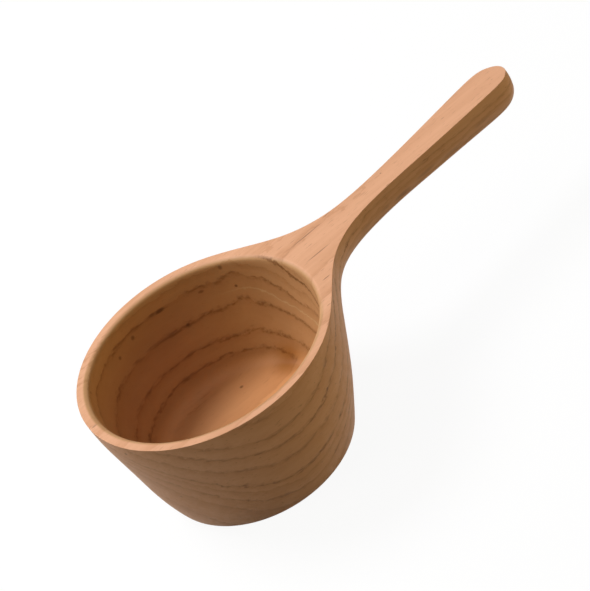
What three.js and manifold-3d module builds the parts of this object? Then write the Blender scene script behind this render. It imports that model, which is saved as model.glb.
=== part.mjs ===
// Coffee measuring spoon, carved from one block of teak: a round tapered cup whose flat rim
// runs on, at the same level, into the flat top of a slim handle.
// Millimetres, +Z up, origin in the middle of the cup's base, handle along +X.

import * as THREE from 'three';
import { mergeVertices } from 'three/addons/utils/BufferGeometryUtils.js';
import Module from 'manifold-3d';

// Cup, outside
const RIM_DIAMETER = 54;
const CUP_HEIGHT = 29.4;
const FOOT_DIAMETER = 43; // at the top of the foot's rounding
const FOOT_ROUND = 1.6;
const WALL_BULGE = 1.2; // how far the wall swells past a straight taper, half way up
const RIM_ROUND = 0.7; // outer edge of the rim

// Cup, inside
const WALL_THICKNESS = 2.7;
const FLOOR_THICKNESS = 4.8;
const FLOOR_FILLET = 5;
const LIP_ROUND = 0.9; // inner edge of the rim

// Handle
const HANDLE_LENGTH = 62.4; // from the rim to the handle's end
const FLARE_ANGLE = THREE.MathUtils.degToRad(50); // where the neck leaves the rim, seen from above
const FLARE_SINK = 0.3; // how far inside the rim's edge the flare starts
const FLARE_RIM_PULL = 14.4; // how long the flare keeps the rim's direction
const FLARE_NECK_PULL = 22.6; // how long it keeps the handle's direction
const NECK_LENGTH = 25; // from the rim to the narrowest place
const NECK_WIDTH = 5.8;
const NECK_THICKNESS = 6.4;
const NECK_FILLET = 12; // under the neck, against the cup's wall
const GRIP_WIDTH = 8;
const GRIP_THICKNESS = 8;
const TIP_LENGTH = 5.5; // rounded end of the grip
const EDGE_ROUND = 0.9; // along the handle's top edges

// The handle's underside and end are superellipses: 2 is round, higher is squarer
const UNDERSIDE_POWER = 4;
const TIP_POWER = 2.6;

// Steps of the faceted surfaces
const CUP_SEGMENTS = 64;
const WALL_STEPS = 7;
const ROUND_STEPS = 3;
const FILLET_STEPS = 6;
const UNDERSIDE_STEPS = 20;
const ROOT_STEPS = 3;
const FLARE_STEPS = 18;
const GRIP_STEPS = 5;
const TIP_STEPS = 8;

const TEAK_COLOUR = '#c4885c';
const TEAK_ROUGHNESS = 0.5;

const RIM_RADIUS = RIM_DIAMETER / 2;
const FOOT_RADIUS = FOOT_DIAMETER / 2;
const WALL_LEAN = Math.atan2(RIM_RADIUS - FOOT_RADIUS, CUP_HEIGHT);
const HANDLE_END = RIM_RADIUS + HANDLE_LENGTH;
const NECK_X = RIM_RADIUS + NECK_LENGTH;
const GRIP_X = HANDLE_END - TIP_LENGTH;
const SHOULDER_X = RIM_RADIUS + NECK_FILLET; // plane between the cup and the handle

const wasm = await Module();
wasm.setup();

// Radius of the cup's outer wall at height z: a straight taper plus its bulge
function wallRadius(z) {
  const up = (z - FOOT_ROUND) / (CUP_HEIGHT - FOOT_ROUND);
  const taper = FOOT_RADIUS + (RIM_RADIUS - FOOT_RADIUS) * up;
  return taper + 4 * WALL_BULGE * up * (1 - up);
}

// Points of an arc round the centre (x, y)
function arc(x, y, radius, from, to, steps) {
  const curve = new THREE.EllipseCurve(x, y, radius, radius, from, to, to < from);
  return curve.getPoints(steps);
}

// Points up the wall between two heights, moved in from the outer face
function wall(from, to, inset) {
  return Array.from({ length: WALL_STEPS + 1 }, (_, i) => {
    const z = THREE.MathUtils.lerp(from, to, i / WALL_STEPS);
    return new THREE.Vector2(wallRadius(z) - inset, z);
  });
}

// A profile turned round the upright axis
function turned(profile) {
  return new THREE.LatheGeometry(profile, CUP_SEGMENTS).rotateX(Math.PI / 2);
}

// The cup as a full block, base to rim
function cupBlock() {
  const shoulder = CUP_HEIGHT - RIM_ROUND;
  const foot = arc(FOOT_RADIUS - FOOT_ROUND, FOOT_ROUND, FOOT_ROUND, -Math.PI / 2, 0, ROUND_STEPS);
  const edge = arc(wallRadius(shoulder) - RIM_ROUND, shoulder, RIM_ROUND, 0, Math.PI / 2, ROUND_STEPS);
  const profile = [
    new THREE.Vector2(0, 0),
    ...foot,
    ...wall(FOOT_ROUND, shoulder, 0).slice(1, -1),
    ...edge,
    new THREE.Vector2(0, CUP_HEIGHT),
  ];
  return turned(profile);
}

// The hollow of the cup, from its floor to above the rim
function cupHollow() {
  const above = CUP_HEIGHT + LIP_ROUND;
  const lipStart = CUP_HEIGHT - LIP_ROUND;
  const lipX = wallRadius(lipStart) - WALL_THICKNESS + LIP_ROUND;
  const wallStart = FLOOR_THICKNESS + FLOOR_FILLET;
  const filletX = wallRadius(wallStart) - WALL_THICKNESS - FLOOR_FILLET;
  const profile = [
    new THREE.Vector2(0, FLOOR_THICKNESS),
    ...arc(filletX, wallStart, FLOOR_FILLET, -Math.PI / 2, 0, FILLET_STEPS),
    ...wall(wallStart, lipStart, WALL_THICKNESS).slice(1, -1),
    ...arc(lipX, lipStart, LIP_ROUND, Math.PI, Math.PI / 2, ROUND_STEPS),
    new THREE.Vector2(lipX, above),
    new THREE.Vector2(0, above),
  ];
  return turned(profile);
}

// Outline of the neck's top face, from the rim's circle to the narrowest place
function flareCurve() {
  const rim = new THREE.Vector2(Math.cos(FLARE_ANGLE), Math.sin(FLARE_ANGLE));
  const start = rim.clone().multiplyScalar(RIM_RADIUS - FLARE_SINK);
  const alongRim = new THREE.Vector2(rim.y, -rim.x).multiplyScalar(FLARE_RIM_PULL);
  const neck = new THREE.Vector2(NECK_X, NECK_WIDTH / 2);
  const alongNeck = new THREE.Vector2(-FLARE_NECK_PULL, 0);
  const rimPull = start.clone().add(alongRim);
  const neckPull = neck.clone().add(alongNeck);
  return new THREE.CubicBezierCurve(start, rimPull, neckPull, neck);
}

// Edge points of the handle's top face: inside the cup's wall, along the flare, the grip and the tip
function edgePoints() {
  const flare = flareCurve().getPoints(FLARE_STEPS);
  const root = Array.from({ length: ROOT_STEPS }, (_, i) => {
    const inset = WALL_THICKNESS * (1 - i / ROOT_STEPS);
    return flare[0].clone().setLength(flare[0].length() - inset);
  });
  const grip = Array.from({ length: GRIP_STEPS - 1 }, (_, i) => {
    const along = (i + 1) / GRIP_STEPS;
    const width = THREE.MathUtils.lerp(NECK_WIDTH, GRIP_WIDTH, along);
    return new THREE.Vector2(THREE.MathUtils.lerp(NECK_X, GRIP_X, along), width / 2);
  });
  const tip = new THREE.EllipseCurve(GRIP_X, 0, TIP_LENGTH, GRIP_WIDTH / 2, Math.PI / 2, 0, true);
  return [...root, ...flare, ...grip, ...tip.getPoints(TIP_STEPS).slice(0, -1)];
}

// Depth of the handle's underside below its top at a distance from the cup's axis, with the
// fillet that runs into the leaning wall
function thickness(reach) {
  const along = THREE.MathUtils.clamp((reach - NECK_X) / (GRIP_X - NECK_X), 0, 1);
  const plain = THREE.MathUtils.lerp(NECK_THICKNESS, GRIP_THICKNESS, along);
  const filletReach = NECK_FILLET * Math.cos(WALL_LEAN);
  const filletFoot = CUP_HEIGHT - NECK_THICKNESS - NECK_FILLET * (1 - Math.sin(WALL_LEAN));
  const filletEnd = wallRadius(filletFoot) + filletReach;
  const inward = THREE.MathUtils.clamp(filletEnd - reach, 0, filletReach);
  return plain + NECK_FILLET - Math.sqrt(NECK_FILLET ** 2 - inward ** 2);
}

// Superellipse quarter: how much is left at a share of the way to the edge
function superRound(share, power) {
  return (1 - Math.min(share, 1) ** power) ** (1 / power);
}

// One section of the handle through an edge point, on a circle round the cup's axis: from one
// top edge round the underside to the other. Near the cup its sides lean in with the wall.
function handleSection(edge) {
  const reach = edge.length();
  const half = edge.y;
  const out = THREE.MathUtils.clamp((edge.x - GRIP_X) / TIP_LENGTH, 0, 1);
  const past = THREE.MathUtils.clamp((edge.x - HANDLE_END + EDGE_ROUND) / EDGE_ROUND, 0, 1);
  const top = CUP_HEIGHT - EDGE_ROUND * (1 - superRound(past, 2));
  const ease = Math.min(EDGE_ROUND, half / 2);
  const depth = Math.max(ease, thickness(reach) * superRound(out, TIP_POWER));
  const lean = THREE.MathUtils.clamp((SHOULDER_X - reach) / NECK_FILLET, 0, 1);
  const section = [];
  const addPoint = (across, down) => {
    const z = top - down;
    const shrink = 1 - (lean * (RIM_RADIUS - wallRadius(z))) / reach;
    const y = across * shrink;
    section.push(new THREE.Vector3(Math.sqrt((reach * shrink) ** 2 - y ** 2), y, z));
  };
  for (let i = 0; i <= UNDERSIDE_STEPS; i += 1) {
    const turn = Math.cos((Math.PI * i) / UNDERSIDE_STEPS);
    const across = Math.sign(turn) * Math.abs(turn) ** (2 / UNDERSIDE_POWER);
    addPoint(half * across, ease + (depth - ease) * superRound(Math.abs(across), UNDERSIDE_POWER));
  }
  const corner = arc(0, 0, ease, 0, Math.PI / 2, ROUND_STEPS).slice(1);
  corner.forEach(({ x, y }) => addPoint(-half + ease - x, ease - y));
  corner.reverse().forEach(({ x, y }) => addPoint(half - ease + x, ease - y));
  return section;
}

// A closed skin over rings of equally many points, with a fan over each end
function loft(rings) {
  const count = rings[0].length;
  const points = rings.flat();
  const faces = [];
  for (let r = 0; r + 1 < rings.length; r += 1) {
    for (let i = 0; i < count; i += 1) {
      const a = r * count + i;
      const b = r * count + ((i + 1) % count);
      faces.push(a, a + count, b, b, a + count, b + count);
    }
  }
  const last = (rings.length - 1) * count;
  const startMiddle = points.length;
  for (const ring of [rings[0], rings.at(-1)]) {
    const box = new THREE.Box3().setFromPoints(ring);
    points.push(box.getCenter(new THREE.Vector3()));
  }
  for (let i = 0; i < count; i += 1) {
    const next = (i + 1) % count;
    faces.push(startMiddle, i, next);
    faces.push(startMiddle + 1, last + next, last + i);
  }
  return new THREE.BufferGeometry().setFromPoints(points).setIndex(faces);
}

// A block that takes in everything beyond the shoulder plane
function beyondShoulder() {
  const reach = HANDLE_END + RIM_DIAMETER;
  const block = new THREE.BoxGeometry(reach, 2 * reach, 2 * reach);
  return block.translate(SHOULDER_X + reach / 2, 0, 0);
}

function solid(geometry) {
  const bare = geometry.clone();
  bare.deleteAttribute('normal');
  bare.deleteAttribute('uv');
  const merged = mergeVertices(bare);
  return new wasm.Manifold(new wasm.Mesh({
    numProp: 3,
    vertProperties: Float32Array.from(merged.attributes.position.array),
    triVerts: Uint32Array.from(merged.index.array),
  }));
}

function mesh(name, body) {
  const { vertProperties, triVerts } = body.getMesh();
  const geometry = new THREE.BufferGeometry();
  geometry.setAttribute('position', new THREE.BufferAttribute(vertProperties, 3));
  geometry.setIndex(new THREE.BufferAttribute(triVerts, 1));
  geometry.computeVertexNormals();
  const teak = new THREE.MeshStandardMaterial({
    color: TEAK_COLOUR,
    roughness: TEAK_ROUGHNESS,
    metalness: 0,
  });
  const piece = new THREE.Mesh(geometry, teak);
  piece.name = name;
  return piece;
}

const handleBlock = loft(edgePoints().map(handleSection));
const spoon = solid(cupBlock()).add(solid(handleBlock)).subtract(solid(cupHollow()));
const shoulderCut = solid(beyondShoulder());

const group = new THREE.Group();
group.add(mesh('cup', spoon.subtract(shoulderCut)));
group.add(mesh('handle', spoon.intersect(shoulderCut)));

export default group;
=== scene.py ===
"""Coffee measuring spoon, carved from one block of teak and oiled, on a white table."""
import math

import bmesh
import bpy
from mathutils import Euler, Matrix, Vector


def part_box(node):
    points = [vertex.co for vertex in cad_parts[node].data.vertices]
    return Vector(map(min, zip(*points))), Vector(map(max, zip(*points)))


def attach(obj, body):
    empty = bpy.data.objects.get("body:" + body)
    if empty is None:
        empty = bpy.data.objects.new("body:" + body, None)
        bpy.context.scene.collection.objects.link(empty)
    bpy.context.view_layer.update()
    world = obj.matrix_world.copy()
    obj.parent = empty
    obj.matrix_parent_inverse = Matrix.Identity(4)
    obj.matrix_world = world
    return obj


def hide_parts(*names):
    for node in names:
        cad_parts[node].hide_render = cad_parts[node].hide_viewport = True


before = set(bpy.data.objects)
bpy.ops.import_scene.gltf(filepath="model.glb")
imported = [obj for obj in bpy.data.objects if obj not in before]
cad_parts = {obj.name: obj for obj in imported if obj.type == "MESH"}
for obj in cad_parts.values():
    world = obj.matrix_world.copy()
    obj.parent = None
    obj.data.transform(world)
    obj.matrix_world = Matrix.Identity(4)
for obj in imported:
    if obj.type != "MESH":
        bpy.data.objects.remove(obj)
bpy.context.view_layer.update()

MM = 0.001

# Sizes that the frame gives; these and all other lengths and places are in millimetres
CUP_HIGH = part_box("cup")[1] / MM
HANDLE_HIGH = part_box("handle")[1] / MM
RIM_RADIUS = CUP_HIGH.y
CUP_HEIGHT = CUP_HIGH.z
HANDLE_END = HANDLE_HIGH.x

# The cup's outside: its radius at the height of the foot's edge, the bevel under it, and how far the
# wall bellies out between foot and rim
FOOT_RADIUS = 21.35
FOOT_EDGE = 1.6
FOOT_BEVEL = 0.45
WALL_BULGE = 1.05

# The cup's inside: the wall's thickness, the floor's height and its bevel into the wall, the lip's bevel,
# and how far the lip lies to one side
WALL = 2.6
FLOOR = 4.8
FLOOR_BEVEL = 2.5
LIP_EDGE = 1.0
LIP_SHIFT = (0.1, 0.1, 0)

# Rings of the cup's cage, as heights above the table, and the columns round it
OUTER_RINGS = (4.5, 8.5, 12.5, 19.5, 25.0)
INNER_RINGS = (24.0, 18.0, 12.5)
COLUMNS = 24

# The handle grows from the wall above this ring, over this many columns to each side
ROOT_RING = OUTER_RINGS[2]
ROOT_COLUMNS = 3

# The carver's wall isn't quite true: how far the foot and the four outer rings above it lie to the side
OFF_TRUE = ((-0.35, -0.2, 0), (-0.3, -0.15, 0), (-0.05, -0.1, 0), (0.3, -0.05, 0), (0.35, 0, 0))

# The neck and grip, from the cup outwards: where the middle of each section of the cage lies, half its
# width, how far its middle stands ahead of its sides, and its depth below the rim. The last one stops
# a little short of the handle's end.
SHORT_OF_END = 0.3
NECK_AND_GRIP = (
    (29.9, 13.5, 5.2, 11.0),
    (33.2, 7.2, 2.5, 7.4),
    (38.8, 3.8, 0.6, 6.5),
    (45.5, 2.95, 0.1, 6.3),
    (53.0, 2.95, 0.1, 6.2),
    (62.0, 3.3, 0.1, 6.6),
    (72.0, 3.75, 0.1, 6.9),
    (79.5, 4.0, 0.1, 7.3),
    (84.2, 4.1, 0.4, 7.4),
    (87.8, 3.85, 1.5, 7.0),
    (HANDLE_END - SHORT_OF_END, 2.9, 1.2, 5.8),
)

# From this section on, the lowest row and the row above it are drawn in to a share of the width
TAPERED_FROM = 1
UNDERSIDE_WIDTH = 0.72
SIDE_WIDTH = 0.98

# In this many sections at the end, each row, from the top down, is set back (forward below 0) and drawn
# in to a share of its width
END_SECTIONS = 2
END_ROWS = ((0.15, 0.93), (0.05, 0.98), (0.0, 1.0), (-0.3, 0.92))

# Sections where the grip's top leans further to the +Y side, and by how much at each
LEANING = (6, 7)
TOP_LEAN = 0.2

# The level top's outer edge: its bevel, and the narrow border inside it that keeps it crisp
TOP_EDGE = 0.08
TOP_BORDER = 0.2

# Segments of a bevelled edge and of the floor's bevel, and how often the cage is smoothed
EDGE_SEGMENTS = 2
FLOOR_SEGMENTS = 3
SMOOTHING = 3

# Up to this far apart, points are one point, heights are one level, and points of a section are one row
SAME_POINT = 0.001
SAME_LEVEL = 0.01
SAME_ROW = 0.1

# A wall's face has a normal that rises less than the first value, and a level top's one that rises more than
# the second. An edge that bends by more than the angle is a crease.
WALL_RISE = 0.5
LEVEL_RISE = 0.99
CREASE = math.radians(30)

# The block's pith runs under the cup, a little askew to the handle: where it passes below the cup's
# middle, and how it is turned
PITH_PLACE = Vector((0, 18.8, -18.7))
PITH_TURN = Euler((0, math.radians(2.0), math.radians(-5.43)))

# Growth rings about the pith: radius, and how dark the ring's last wood is outside and inside the cup,
# 0 to 1
RINGS = (
    (15.5, 0.15, 0.3), (19.5, 0.15, 0.3), (23.6, 0.15, 0.3), (27.6, 0.2, 0.58), (31.1, 0.2, 0.58),
    (37.9, 0.2, 0.58), (44.5, 0.2, 0.55), (47.2, 0.5, 0.1), (49.6, 0.05, 0.3), (50.9, 0.7, 0.1),
    (55.0, 0.4, 0.2), (58.5, 0.65, 0.2), (61.3, 0.45, 0.2), (65.0, 0.4, 0.2), (70.0, 0.3, 0.2),
)

# How the rings waver and how they fray: length of a bend along the grain, its width, and how far it moves
# them from one side to the other
WAVER = (30.0, 12.0, 3.0)
FRAY = (3.5, 1.0, 1.7)

# Half the width of a ring's brown line, as a share of a year
LINE_HALF_WIDTH = 0.16

# Long gaps and small nicks that break the brown lines: length along the grain, and width
GAPS = (14.0, 2.5)
NICKS = (3.0, 0.8)

# What makes the brown lines faint: where they are faintest, where they are full, and the share of them
# that is left at their faintest. For gaps and nicks these are values of their noise, for the far side and
# the handle places along the spoon, and for the top and the cup's floor heights.
GAPS_FADE = (0.36, 0.52, 0.1)
NICKS_FADE = (0.4, 0.56, 0.35)
FAR_SIDE_FADE = (-24.0, -12.0, 0.4)
HANDLE_FADE = (46.0, 34.0, 0.35)
TOP_FADE = (CUP_HEIGHT, CUP_HEIGHT - 0.8, 0.25)
FLOOR_FADE = (FLOOR, FLOOR + 1.5, 0.15)

# Two rings that show on the cup's inner wall towards the handle, a thin pale one and a dark one under the
# lip: radius, half the width, and how clear each is, 0 to 1. Then where along the spoon they start and where
# they are full.
PALE_RING = (41.3, 0.35, 0.55)
DARK_RING = (49.7, 0.6, 0.75)
WALL_RINGS_FROM = 15.0
WALL_RINGS_FULL = 21.0

# The rings sag below the handle, and a small knot lifts them beside it: place, how far the bend reaches
# each way, and how much it lifts them
SAG = (Vector((23, 2, 20)), Vector((9, 9, 9)), -2.2)
KNOT = (Vector((18.3, 14.3, 20)), Vector((3.2, 3.2, 60)), 1.6)

# Marks all over the wood: length along the grain, width, the values of their noise from which they show
# and at which they are clearest, and how clear that is, 0 to 1. Inside the cup the oil hides part of them.
BANDS = (60.0, 7.0, 0.3, 0.7, 0.35)
STREAKS = (25.0, 0.8, 0.35, 0.7, 0.15)
PORES = (2.5, 0.28, 0.66, 0.76, 0.4)
CLEAR_INSIDE = 0.4

# The finer noise within a mark: how many steps finer it goes, fewer in pores, and how strong each is
FINER_STEPS = 2.0
PORE_STEPS = 1.0
STEP_STRENGTH = 0.55

# The darker wood of each year's later months: the part of the year it starts at, and how dark it gets
LATE_FROM = 0.45
LATE_MOST = 0.5

# Mineral streaks and specks: place, half the length along the grain, half the width, and how dark, 0 to 1.
# Then the share of a speck's size that is fully dark.
SPECKS = (
    ((18.1, 16.5, 28.0), 0.6, 0.8, 0.55), ((18.6, 14.9, 22.9), 0.45, 0.5, 0.7),
    ((4.6, 23.5, 24.8), 1.7, 0.65, 0.75), ((2.9, 23.8, 25.1), 1.3, 0.55, 0.45),
    ((13.2, 19.9, 24.0), 1.5, 0.5, 0.5), ((7.8, 21.9, 18.5), 0.6, 0.6, 0.5),
    ((-3.3, 23.7, 24.2), 0.65, 0.7, 0.5), ((-8.3, 22.4, 23.6), 0.55, 0.6, 0.5),
    ((-19.7, 14.5, 28.2), 0.5, 0.45, 0.4), ((7.3, 11.8, 4.8), 0.6, 0.55, 0.65),
    ((8.6, -24.8, 20.8), 0.5, 0.4, 0.6), ((-26.3, -5.8, 27.3), 0.5, 0.5, 0.5),
    ((-23.1, -9.3, 13.0), 0.9, 0.6, 0.5), ((-25.5, 4.4, 29.35), 0.9, 0.4, 0.45),
    ((32.0, 3.15, 29.4), 7.5, 0.2, 0.6), ((29.8, -3.55, 29.4), 5.5, 0.2, 0.6),
    ((25.5, -10.85, 29.4), 1.3, 0.2, 0.6), ((38.6, 3.6, 29.4), 1.6, 0.2, 0.4),
    ((71.0, 0.9, 29.4), 0.6, 0.14, 0.4), ((84.6, -0.8, 29.4), 0.4, 0.14, 0.3),
    ((52.8, 1.5, 29.4), 0.3, 0.22, 0.6),
    ((53.4, -2.7, 24.7), 3.2, 0.8, 0.35), ((48.4, -2.8, 25.2), 2.4, 0.7, 0.2),
    ((43.5, -3.3, 25.2), 4.0, 0.7, 0.2), ((60.5, -3.0, 25.0), 4.2, 0.8, 0.25),
    ((68.0, -3.1, 24.4), 5.0, 0.7, 0.2), ((77.0, -3.7, 25.1), 3.8, 0.8, 0.22),
)
SPECK_CORE = 0.3

# Painted shade in the floor's corner towards the handle: its middle, and how far the darker colour reaches
SHADED_CORNER = Vector((17.2, 6.8, 5.7))
SHADED_CORNER_REACH = 5.5

# Colours of the wood and its marks, and the tints of painted shade on the cup's inside
EARLY_WOOD = "#e2ac87"
LATE_WOOD = "#c2895f"
BAND_WOOD = "#cc956f"
STREAK_WOOD = "#b98058"
RING_BROWN = "#7d4c2a"
RING_PALE = "#f2cfae"
PORE_BROWN = "#8a5a36"
SPECK_BROWN = "#5e3a20"
# These three tints darken and recolour the cup's floor, wall and corner as painted shade
FLOOR_SHADE_TINT = "#f7ebca"
WALL_SHADE_TINT = "#dbdec9"
CORNER_SHADE_TINT = "#c2a762"

# The oil's satin: its roughness on plain wood and on streaks, its mirror strength, and the depth and
# strength of the open grain
PLAIN_ROUGHNESS = 0.48
STREAK_ROUGHNESS = 0.6
SHEEN = 0.15
GRAIN_DEPTH = 0.1
GRAIN_STRENGTH = 0.3

# The table: half its side, and a hair's gap under the foot, so that the two faces don't share a plane
TABLE_HALF = 3000
TABLE_CLEARANCE = 0.02

# The table's card: its white, the share of it that stays white whatever the light, while the rest takes the
# shadow, and the greyer colour with which it throws light on the spoon
WHITE = "#ffffff"
STAYS_WHITE = 0.93
TABLE_BOUNCE = "#807c72"

# Camera: its place, the point it looks at, its roll, its lens, and the nearest distance that it shows
CAMERA_PLACE = Vector((-110.40, -304.16, 272.99))
CAMERA_AIM = Vector((18.89, -8.44, 29.52))
CAMERA_ROLL = math.radians(-28.42)
CAMERA_LENS = 126.7
CAMERA_NEAREST = 10

# Light: the room's own strength, and the lamps, which all point at the middle of the base. Each has its
# name, place, diameter, power in watts and colour.
ROOM_LIGHT = 0.08
LAMPS = (
    ("overhead_light", (-144, 370, 575), 350, 4.8, "#f8f8ff"),
    ("top_light", (0, 0, 700), 400, 0.5, "#ffffff"),
    ("left_fill", (-600, 100, 500), 400, 1.2, "#fff9cb"),
    ("front_fill", (420, -520, 25), 400, 1.4, "#ffe474"),
    ("right_fill", (650, -150, 90), 400, 0.29, "#fff3bc"),
)


def linear(hex_colour):
    """An sRGB hex colour as linear red, green, blue and alpha."""
    channels = [int(hex_colour[i:i + 2], 16) / 255 for i in (1, 3, 5)]
    return [c / 12.92 if c <= 0.04045 else ((c + 0.055) / 1.055) ** 2.4 for c in channels] + [1.0]


def add_node(tree, kind, inputs=None, **settings):
    """Add a node with its settings, and set or link its inputs by name or number."""
    made = tree.nodes.new(kind)
    for name, value in settings.items():
        setattr(made, name, value)
    for key, value in (inputs or {}).items():
        if isinstance(value, bpy.types.NodeSocket):
            tree.links.new(value, made.inputs[key])
        else:
            made.inputs[key].default_value = value
    return made


def new_material(name):
    """A material with an empty node tree."""
    material = bpy.data.materials.new(name)
    material.use_nodes = True
    material.node_tree.nodes.clear()
    return material


def add_object(name, data):
    """An object at the origin, in the scene."""
    made = bpy.data.objects.new(name, data)
    bpy.context.scene.collection.objects.link(made)
    return made


def wall_radius(height):
    """Radius of the cup's outer wall: a straight taper with a slight belly."""
    up = (height - FOOT_EDGE) / (CUP_HEIGHT - FOOT_EDGE)
    return FOOT_RADIUS + (RIM_RADIUS - FOOT_RADIUS) * up + 4 * WALL_BULGE * up * (1 - up)


def cup_profile():
    """Half section of the cup's cage as (radius, height), from under the base to the inner floor."""
    foot = wall_radius(0)
    floor_corner = wall_radius(FLOOR) - WALL
    outside = [(wall_radius(z), z) for z in OUTER_RINGS]
    inside = [(wall_radius(z) - WALL, z) for z in INNER_RINGS]
    return [
        (0, 0), (foot / 2, 0), (foot, 0),
        *outside, (RIM_RADIUS, CUP_HEIGHT), (RIM_RADIUS - WALL, CUP_HEIGHT), *inside,
        (floor_corner, FLOOR), (floor_corner / 2, FLOOR), (0, FLOOR),
    ]


def turn_cup(mesh):
    """Spin the half section; a smoothed ring shrinks, so its corners start that much further out."""
    swell = 3 / (2 + math.cos(2 * math.pi / COLUMNS))
    points = [mesh.verts.new((radius * swell, 0, height)) for radius, height in cup_profile()]
    edges = [mesh.edges.new(pair) for pair in zip(points, points[1:])]
    bmesh.ops.spin(
        mesh, geom=points + edges, cent=(0, 0, 0), axis=(0, 0, 1),
        angle=2 * math.pi, steps=COLUMNS, use_merge=True,
    )
    bmesh.ops.remove_doubles(mesh, verts=mesh.verts, dist=SAME_POINT)
    bmesh.ops.recalc_face_normals(mesh, faces=mesh.faces)


def put_off_true(mesh):
    """Shift the foot and each outer ring above it a little to the side."""
    for height, shift in zip((0, *OUTER_RINGS), OFF_TRUE):
        ring = [vert for vert in mesh.verts if abs(vert.co.z - height) < SAME_LEVEL
                and vert.co.xy.length > wall_radius(height) - WALL / 2]
        bmesh.ops.translate(mesh, verts=ring, vec=shift)


def handle_root(mesh):
    """Faces of the outer wall that the handle grows from."""
    reach = ROOT_COLUMNS * 2 * math.pi / COLUMNS

    def is_root(face):
        middle = face.calc_center_median()
        outward = face.normal.x * middle.x + face.normal.y * middle.y > 0
        upright = abs(face.normal.z) < WALL_RISE
        return (outward and upright and middle.z > ROOT_RING
                and abs(math.atan2(middle.y, middle.x)) < reach)

    return [face for face in mesh.faces if is_root(face)]


def draw_out_handle(mesh):
    """Extrude the root section by section along the neck and grip to the rounded end."""
    faces = handle_root(mesh)
    verts = {vert for face in faces for vert in face.verts}
    rim = [vert for vert in verts if vert.co.z > CUP_HEIGHT - SAME_LEVEL]
    level_edges = [edge for edge in mesh.edges if all(vert in rim for vert in edge.verts)]
    middle = max(vert.co.x for vert in rim)
    half = max(vert.co.y for vert in rim)
    bow = middle - min(vert.co.x for vert in rim)
    depth = CUP_HEIGHT - min(vert.co.z for vert in verts)
    for number, (new_middle, new_half, new_bow, new_depth) in enumerate(NECK_AND_GRIP):
        grown = bmesh.ops.extrude_face_region(mesh, geom=faces)["geom"]
        bmesh.ops.delete(mesh, geom=[face for face in faces if face.is_valid], context="FACES")
        faces = [item for item in grown if isinstance(item, bmesh.types.BMFace)]
        verts = [item for item in grown if isinstance(item, bmesh.types.BMVert)]
        if number == TAPERED_FROM:
            round_underside(mesh, verts)
        bmesh.ops.scale(
            mesh, verts=verts, vec=(new_bow / bow, new_half / half, new_depth / depth),
            space=Matrix.Translation((-middle, 0, -CUP_HEIGHT)),
        )
        bmesh.ops.translate(mesh, verts=verts, vec=(new_middle - middle, 0, 0))
        if number in LEANING:
            top = [vert for vert in verts if vert.co.z > CUP_HEIGHT - SAME_LEVEL]
            bmesh.ops.translate(mesh, verts=top, vec=(0, TOP_LEAN, 0))
        if number >= len(NECK_AND_GRIP) - END_SECTIONS:
            round_end(mesh, verts)
        middle, half, bow, depth = new_middle, new_half, new_bow, new_depth
    bmesh.ops.dissolve_edges(mesh, edges=level_edges, use_verts=True)


def rows_of(verts):
    """The points of a handle section row by row, from the lowest up."""
    heights = sorted({round(vert.co.z, 2) for vert in verts})
    return [[vert for vert in verts if abs(vert.co.z - height) < SAME_ROW] for height in heights]


def round_underside(mesh, verts):
    """Draw in the lowest row of a handle section, and the row above it a little."""
    for row, width in zip(rows_of(verts), (UNDERSIDE_WIDTH, SIDE_WIDTH)):
        bmesh.ops.scale(mesh, verts=row, vec=(1, width, 1))


def round_end(mesh, verts):
    """Set each row of a section near the handle's end back, and draw it in, by its own amount."""
    for row, (set_back, width) in zip(reversed(rows_of(verts)), END_ROWS):
        bmesh.ops.translate(mesh, verts=row, vec=(-set_back, 0, 0))
        bmesh.ops.scale(mesh, verts=row, vec=(1, width, 1))


def edges_at(mesh, height, least, most):
    """Edges at one height, between two distances from the cup's axis, where two faces meet at an angle."""
    found = []
    for edge in mesh.edges:
        level = all(abs(vert.co.z - height) < SAME_LEVEL for vert in edge.verts)
        away = min(vert.co.xy.length for vert in edge.verts)
        if level and least < away < most and abs(edge.calc_face_angle_signed(0)) > CREASE:
            found.append(edge)
    return found


def ease(mesh, edges, width, segments):
    """Round edges off with a bevel."""
    bmesh.ops.bevel(
        mesh, geom=edges, offset=width, offset_type="OFFSET", affect="EDGES",
        segments=segments, profile=0.5, material=-1, clamp_overlap=False,
    )


def ease_top(mesh):
    """Round the level top's outer edge and the cup's lip, shift the lip, and lay the narrow border."""
    rim_middle = RIM_RADIUS - WALL / 2
    ease(mesh, edges_at(mesh, CUP_HEIGHT, rim_middle, math.inf), TOP_EDGE, EDGE_SEGMENTS)
    ease(mesh, edges_at(mesh, CUP_HEIGHT, 0, rim_middle), LIP_EDGE, EDGE_SEGMENTS)
    inner_edge = RIM_RADIUS - 2 * TOP_EDGE
    lip = [vert for vert in mesh.verts
           if vert.co.z > CUP_HEIGHT - SAME_LEVEL and vert.co.xy.length < inner_edge]
    bmesh.ops.translate(mesh, verts=lip, vec=LIP_SHIFT)
    mesh.normal_update()
    top = [face for face in mesh.faces if face.normal.z > LEVEL_RISE
           and face.calc_center_median().z > CUP_HEIGHT - SAME_LEVEL]
    bmesh.ops.inset_region(mesh, faces=top, thickness=TOP_BORDER, use_even_offset=True)


def ease_base(mesh):
    """Round the foot's edge and the corner between the inner floor and the wall."""
    inner = FOOT_RADIUS / 2
    ease(mesh, edges_at(mesh, 0, inner, math.inf), FOOT_BEVEL, EDGE_SEGMENTS)
    ease(mesh, edges_at(mesh, FLOOR, inner, FOOT_RADIUS), FLOOR_BEVEL, FLOOR_SEGMENTS)


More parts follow.
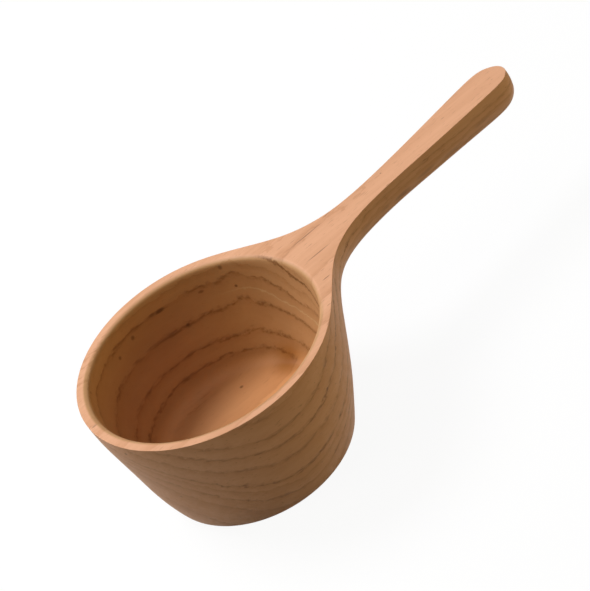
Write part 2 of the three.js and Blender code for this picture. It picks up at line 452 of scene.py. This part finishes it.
def mark_inside(mesh):
    """Note on each point whether it lies on the cup's inner skin, for the finish to read."""
    inside = mesh.verts.layers.float.new("inside")
    for vert in mesh.verts:
        wall_middle = wall_radius(vert.co.z) - WALL / 2
        vert[inside] = float(vert.co.z > FLOOR / 2 and vert.co.xy.length < wall_middle)


def make_spoon(teak):
    """The whole spoon as one smooth skin: the wood runs on from the cup into the handle."""
    mesh = bmesh.new()
    turn_cup(mesh)
    put_off_true(mesh)
    draw_out_handle(mesh)
    ease_top(mesh)
    ease_base(mesh)
    bmesh.ops.recalc_face_normals(mesh, faces=mesh.faces)
    mark_inside(mesh)
    bmesh.ops.scale(mesh, verts=mesh.verts, vec=(MM, MM, MM))
    data = bpy.data.meshes.new("spoon_body")
    mesh.to_mesh(data)
    mesh.free()
    data.shade_smooth()
    data.materials.append(teak)
    body = add_object("spoon_body", data)
    smooth = body.modifiers.new("carved_smooth", "SUBSURF")
    smooth.levels = smooth.render_levels = SMOOTHING
    body.modifiers.new("even_shading", "WEIGHTED_NORMAL")
    return body


def fibre_pattern(tree, fibres, length, width, steps=FINER_STEPS):
    """Soft noise drawn out along the fibres, with marks about this long and wide in millimetres."""
    size = add_node(tree, "ShaderNodeVectorMath",
                    {0: fibres, 1: (1 / length, 1 / width, 1 / width)}, operation="MULTIPLY")
    noise = add_node(tree, "ShaderNodeTexNoise", {
        "Vector": size.outputs[0], "Scale": 1.0, "Detail": steps, "Roughness": STEP_STRENGTH,
    })
    return noise.outputs["Fac"]


def wood_marks(tree, fibres, kind, clear, steps=FINER_STEPS):
    """One kind of mark all over the wood; clear is the share of its own clearness that it shows with."""
    length, width, faint, full, most = kind
    clearest = add_node(tree, "ShaderNodeMath", {0: clear, 1: most}, operation="MULTIPLY")
    marks = add_node(tree, "ShaderNodeMapRange", {
        "Value": fibre_pattern(tree, fibres, length, width, steps),
        "From Min": faint, "From Max": full, "To Max": clearest.outputs[0],
    })
    return marks.outputs[0]


def ring_radius(tree, fibres):
    """Distance from the pith, wavering a little and frayed along the fibres."""
    across = add_node(tree, "ShaderNodeVectorMath", {0: fibres, 1: (0, 1, 1)}, operation="MULTIPLY")
    radius = add_node(tree, "ShaderNodeVectorMath", {0: across.outputs[0]}, operation="LENGTH")
    moved = radius.outputs["Value"]
    for length, width, most in (WAVER, FRAY):
        drift = fibre_pattern(tree, fibres, length, width)
        centred = add_node(tree, "ShaderNodeMath", {0: drift, 1: 0.5}, operation="SUBTRACT")
        moved = add_node(tree, "ShaderNodeMath", {0: centred.outputs[0], 1: most, 2: moved},
                         operation="MULTIPLY_ADD").outputs[0]
    return moved


def bend_rings(tree, spot, radius, bend):
    """Lift the rings around one place, most at its middle."""
    middle, reach, lift = bend
    off = add_node(tree, "ShaderNodeVectorMath", {0: spot, 1: middle}, operation="SUBTRACT")
    sized = add_node(tree, "ShaderNodeVectorMath", {0: off.outputs[0], 1: reach}, operation="DIVIDE")
    away = add_node(tree, "ShaderNodeVectorMath", {0: sized.outputs[0]}, operation="LENGTH")
    near = add_node(tree, "ShaderNodeMapRange",
                    {"Value": away.outputs["Value"], "To Min": lift, "To Max": 0.0})
    bent = add_node(tree, "ShaderNodeMath", {0: radius, 1: near.outputs[0]}, operation="SUBTRACT")
    return bent.outputs[0]


def growth_years(tree, radius):
    """Years of growth up to a distance from the pith, and how dark the nearest year ends out and in."""
    first, last = RINGS[0][0], RINGS[-1][0]
    share = add_node(tree, "ShaderNodeMapRange", {"Value": radius, "From Min": first, "From Max": last})
    ramp = add_node(tree, "ShaderNodeValToRGB", {"Fac": share.outputs[0]})
    stops = ramp.color_ramp.elements
    stops.remove(stops[1])
    for number, (ring, outside_dark, inside_dark) in enumerate(RINGS):
        stop = stops.new((ring - first) / (last - first)) if number else stops[0]
        stop.color = (number / len(RINGS), outside_dark, inside_dark, 1)
    parts = add_node(tree, "ShaderNodeSeparateColor", {0: ramp.outputs["Color"]})
    years = add_node(tree, "ShaderNodeMath", {0: parts.outputs[0], 1: len(RINGS)}, operation="MULTIPLY")
    return years.outputs[0], parts.outputs[1], parts.outputs[2]


def ring_lines(tree, fibres, spot, inside, years, dark):
    """The brown lines where a year's growth ends: broken along the grain, faint on the flat top of the
    rim and handle, on the cup's floor, along the grip and on the side away from the handle."""
    half_year = 0.5
    from_line = add_node(tree, "ShaderNodeMath", {0: years, 1: half_year}, operation="PINGPONG")
    line = add_node(tree, "ShaderNodeMapRange",
                    {"Value": from_line.outputs[0], "From Max": LINE_HALF_WIDTH,
                     "To Min": 1.0, "To Max": 0.0}, interpolation_type="SMOOTHSTEP")
    where = add_node(tree, "ShaderNodeSeparateXYZ", {0: spot})
    above_floor = add_node(tree, "ShaderNodeMix", {0: inside, 2: CUP_HEIGHT, 3: where.outputs["Z"]})
    share = line.outputs[0]
    for value, (faint, full, least) in (
        (fibre_pattern(tree, fibres, *GAPS), GAPS_FADE),
        (fibre_pattern(tree, fibres, *NICKS), NICKS_FADE),
        (where.outputs["X"], FAR_SIDE_FADE),
        (where.outputs["X"], HANDLE_FADE),
        (where.outputs["Z"], TOP_FADE),
        (above_floor.outputs[0], FLOOR_FADE),
    ):
        factor = add_node(tree, "ShaderNodeMapRange",
                          {"Value": value, "From Min": faint, "From Max": full, "To Min": least})
        share = add_node(tree, "ShaderNodeMath", {0: share, 1: factor.outputs[0]},
                         operation="MULTIPLY").outputs[0]
    return add_node(tree, "ShaderNodeMath", {0: share, 1: dark}, operation="MULTIPLY").outputs[0]


def wall_ring(tree, spot, inside, radius, ring):
    """One ring that shows on the inner wall below the handle and fades out to both sides."""
    middle, half_width, most = ring
    off = add_node(tree, "ShaderNodeMath", {0: radius, 1: middle}, operation="SUBTRACT")
    away = add_node(tree, "ShaderNodeMath", {0: off.outputs[0]}, operation="ABSOLUTE")
    line = add_node(tree, "ShaderNodeMapRange",
                    {"Value": away.outputs[0], "From Max": half_width, "To Min": most, "To Max": 0.0},
                    interpolation_type="SMOOTHSTEP")
    along = add_node(tree, "ShaderNodeSeparateXYZ", {0: spot}).outputs["X"]
    near_handle = add_node(tree, "ShaderNodeMapRange", {
        "Value": along, "From Min": WALL_RINGS_FROM, "From Max": WALL_RINGS_FULL,
    })
    share = add_node(tree, "ShaderNodeMath", {0: line.outputs[0], 1: near_handle.outputs[0]},
                     operation="MULTIPLY")
    shown = add_node(tree, "ShaderNodeMath", {0: share.outputs[0], 1: inside}, operation="MULTIPLY")
    return shown.outputs[0]


def specks(tree, fibres):
    """Small dark streaks and specks, each drawn out along the grain."""
    share = 0.0
    for place, long, wide, dark in SPECKS:
        middle = PITH_TURN.to_matrix().inverted() @ (Vector(place) - PITH_PLACE)
        off = add_node(tree, "ShaderNodeVectorMath", {0: fibres, 1: middle}, operation="SUBTRACT")
        sized = add_node(tree, "ShaderNodeVectorMath",
                         {0: off.outputs[0], 1: (1 / long, 1 / wide, 1 / wide)}, operation="MULTIPLY")
        away = add_node(tree, "ShaderNodeVectorMath", {0: sized.outputs[0]}, operation="LENGTH")
        speck = add_node(tree, "ShaderNodeMapRange",
                         {"Value": away.outputs["Value"], "From Min": SPECK_CORE, "From Max": 1.0,
                          "To Min": dark, "To Max": 0.0}, interpolation_type="SMOOTHSTEP")
        share = add_node(tree, "ShaderNodeMath", {0: share, 1: speck.outputs[0]},
                         operation="MAXIMUM").outputs[0]
    return share


def painted_shade_tint(tree, spot):
    """Painted shade on the colour of the cup's inside: tints for its floor and its wall, and a darker one in
    the corner towards the handle.
    """
    height = add_node(tree, "ShaderNodeSeparateXYZ", {0: spot}).outputs["Z"]
    up_wall = add_node(tree, "ShaderNodeMapRange",
                       {"Value": height, "From Min": FLOOR, "From Max": FLOOR + FLOOR_BEVEL})
    skin = add_node(tree, "ShaderNodeMix",
                    {0: up_wall.outputs[0], 6: linear(FLOOR_SHADE_TINT), 7: linear(WALL_SHADE_TINT)},
                    data_type="RGBA")
    # A darker tint in the floor's corner towards the handle, as painted shade
    away = add_node(tree, "ShaderNodeVectorMath", {0: spot, 1: SHADED_CORNER}, operation="DISTANCE")
    corner = add_node(tree, "ShaderNodeMapRange",
                      {"Value": away.outputs["Value"], "From Max": SHADED_CORNER_REACH,
                       "To Min": 1.0, "To Max": 0.0}, interpolation_type="SMOOTHSTEP")
    tint = add_node(tree, "ShaderNodeMix",
                    {0: corner.outputs[0], 6: skin.outputs[2], 7: linear(CORNER_SHADE_TINT)}, data_type="RGBA")
    return tint.outputs[2]


def oiled_teak():
    """Teak, carved, sanded and oiled: warm tan, with brown lines where each year's growth ends, fine
    pores drawn out along the grain and a low satin sheen. The cup's inside is tinted browner as painted
    shade."""
    material = new_material("oiled_teak")
    tree = material.node_tree
    place = add_node(tree, "ShaderNodeTexCoord").outputs["Object"]
    block = add_node(tree, "ShaderNodeMapping", {
        "Vector": place, "Location": PITH_PLACE * MM, "Rotation": PITH_TURN, "Scale": (MM, MM, MM),
    }, vector_type="TEXTURE")
    fibres = block.outputs["Vector"]
    in_mm = add_node(tree, "ShaderNodeVectorMath", {0: place, "Scale": 1 / MM}, operation="SCALE")
    spot = in_mm.outputs[0]
    inside = add_node(tree, "ShaderNodeAttribute", attribute_name="inside").outputs["Fac"]

    sagging = bend_rings(tree, spot, ring_radius(tree, fibres), SAG)
    years, outside_dark, inside_dark = growth_years(tree, bend_rings(tree, spot, sagging, KNOT))
    dark = add_node(tree, "ShaderNodeMix", {0: inside, 2: outside_dark, 3: inside_dark}).outputs[0]
    season = add_node(tree, "ShaderNodeMath", {0: years}, operation="FRACT")
    late = add_node(tree, "ShaderNodeMapRange", {
        "Value": season.outputs[0], "From Min": LATE_FROM, "From Max": 1.0, "To Max": LATE_MOST,
    })
    clear = add_node(tree, "ShaderNodeMapRange",
                     {"Value": inside, "To Min": 1.0, "To Max": CLEAR_INSIDE}).outputs[0]
    bands = wood_marks(tree, fibres, BANDS, 1.0)
    streaks = wood_marks(tree, fibres, STREAKS, clear)
    pores = wood_marks(tree, fibres, PORES, clear, PORE_STEPS)

    wood = linear(EARLY_WOOD)
    for share, colour in (
        (late.outputs[0], LATE_WOOD), (bands, BAND_WOOD), (streaks, STREAK_WOOD),
        (ring_lines(tree, fibres, spot, inside, years, dark), RING_BROWN),
        (wall_ring(tree, spot, inside, sagging, DARK_RING), RING_BROWN),
        (wall_ring(tree, spot, inside, sagging, PALE_RING), RING_PALE),
        (pores, PORE_BROWN), (specks(tree, fibres), SPECK_BROWN),
    ):
        wood = add_node(tree, "ShaderNodeMix", {0: share, 6: wood, 7: linear(colour)},
                        data_type="RGBA").outputs[2]
    # On the cup's inside the wood is multiplied by the tints of painted shade
    oiled = add_node(tree, "ShaderNodeMix", {0: inside, 6: wood, 7: painted_shade_tint(tree, spot)},
                     data_type="RGBA", blend_type="MULTIPLY")

    satin = add_node(tree, "ShaderNodeMapRange", {
        "Value": streaks, "From Max": STREAKS[-1], "To Min": PLAIN_ROUGHNESS, "To Max": STREAK_ROUGHNESS,
    })
    open_grain = add_node(tree, "ShaderNodeMath", {0: pores, 1: -1.0, 2: streaks}, operation="MULTIPLY_ADD")
    relief = add_node(tree, "ShaderNodeBump", {
        "Height": open_grain.outputs[0], "Strength": GRAIN_STRENGTH, "Distance": GRAIN_DEPTH * MM,
    })
    shader = add_node(tree, "ShaderNodeBsdfPrincipled", {
        "Base Color": oiled.outputs[2], "Roughness": satin.outputs[0], "Specular IOR Level": SHEEN,
        "Normal": relief.outputs[0],
    })
    add_node(tree, "ShaderNodeOutputMaterial", {"Surface": shader.outputs["BSDF"]})
    return material


def seen_directly(tree):
    """1 where the eye sees a surface itself or its mirror image, 0 where it only throws light on others."""
    path = add_node(tree, "ShaderNodeLightPath")
    seen = path.outputs["Is Camera Ray"]
    for ray in ("Is Glossy Ray", "Is Transmission Ray"):
        seen = add_node(tree, "ShaderNodeMath", {0: seen, 1: path.outputs[ray]},
                        operation="MAXIMUM").outputs[0]
    return seen


def white_card():
    """Matt card that shows as plain white with the spoon's soft shadow, and throws little light back."""
    material = new_material("white_card")
    tree = material.node_tree
    seen = seen_directly(tree)
    colour = add_node(tree, "ShaderNodeMix", {0: seen, 6: linear(TABLE_BOUNCE), 7: linear(WHITE)},
                      data_type="RGBA")
    share = add_node(tree, "ShaderNodeMath", {0: seen, 1: STAYS_WHITE}, operation="MULTIPLY")
    card = add_node(tree, "ShaderNodeBsdfDiffuse", {"Color": colour.outputs[2]})
    glow = add_node(tree, "ShaderNodeEmission", {"Color": linear(WHITE), "Strength": 1.0})
    mixed = add_node(tree, "ShaderNodeMixShader",
                     {0: share.outputs[0], 1: card.outputs[0], 2: glow.outputs[0]})
    add_node(tree, "ShaderNodeOutputMaterial", {"Surface": mixed.outputs[0]})
    return material


def make_table():
    """A wide flat sheet of white card under the spoon."""
    mesh = bmesh.new()
    bmesh.ops.create_grid(mesh, x_segments=1, y_segments=1, size=TABLE_HALF * MM)
    bmesh.ops.translate(mesh, verts=mesh.verts, vec=(0, 0, -TABLE_CLEARANCE * MM))
    data = bpy.data.meshes.new("table")
    mesh.to_mesh(data)
    mesh.free()
    data.materials.append(white_card())
    return add_object("table", data)


def make_world():
    """A room that is white to the eye and throws a little even light on the spoon."""
    world = bpy.data.worlds.new("white_room")
    bpy.context.scene.world = world
    world.use_nodes = True
    tree = world.node_tree
    tree.nodes.clear()
    strength = add_node(tree, "ShaderNodeMath", {0: seen_directly(tree), 1: ROOM_LIGHT},
                        operation="MAXIMUM")
    sky = add_node(tree, "ShaderNodeBackground",
                   {"Color": linear(WHITE), "Strength": strength.outputs[0]})
    add_node(tree, "ShaderNodeOutputWorld", {"Surface": sky.outputs[0]})


def make_lamp(name, place, diameter, power, colour):
    """A round soft lamp that points at the middle of the base."""
    lamp = bpy.data.lights.new(name, "AREA")
    lamp.shape = "DISK"
    lamp.size = diameter * MM
    lamp.energy = power
    lamp.color = linear(colour)[:3]
    stand = add_object(name, lamp)
    stand.location = Vector(place) * MM
    stand.rotation_euler = (-Vector(place)).to_track_quat("-Z", "Y").to_euler()


def make_camera():
    """A camera that looks down at the spoon from the front and is rolled to one side."""
    lens = bpy.data.cameras.new("camera")
    lens.lens = CAMERA_LENS
    lens.clip_start = CAMERA_NEAREST * MM
    camera = add_object("camera", lens)
    camera.location = CAMERA_PLACE * MM
    level = (CAMERA_AIM - CAMERA_PLACE).to_track_quat("-Z", "Y").to_matrix()
    roll = Euler((0, 0, CAMERA_ROLL)).to_matrix()
    camera.rotation_euler = (level @ roll).to_euler()
    bpy.context.scene.camera = camera


make_camera()
spoon = make_spoon(oiled_teak())
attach(spoon, "root")
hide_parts("cup", "handle")
make_table()
make_world()
for lamp in LAMPS:
    make_lamp(*lamp)
bpy.context.scene.view_settings.view_transform = "Standard"
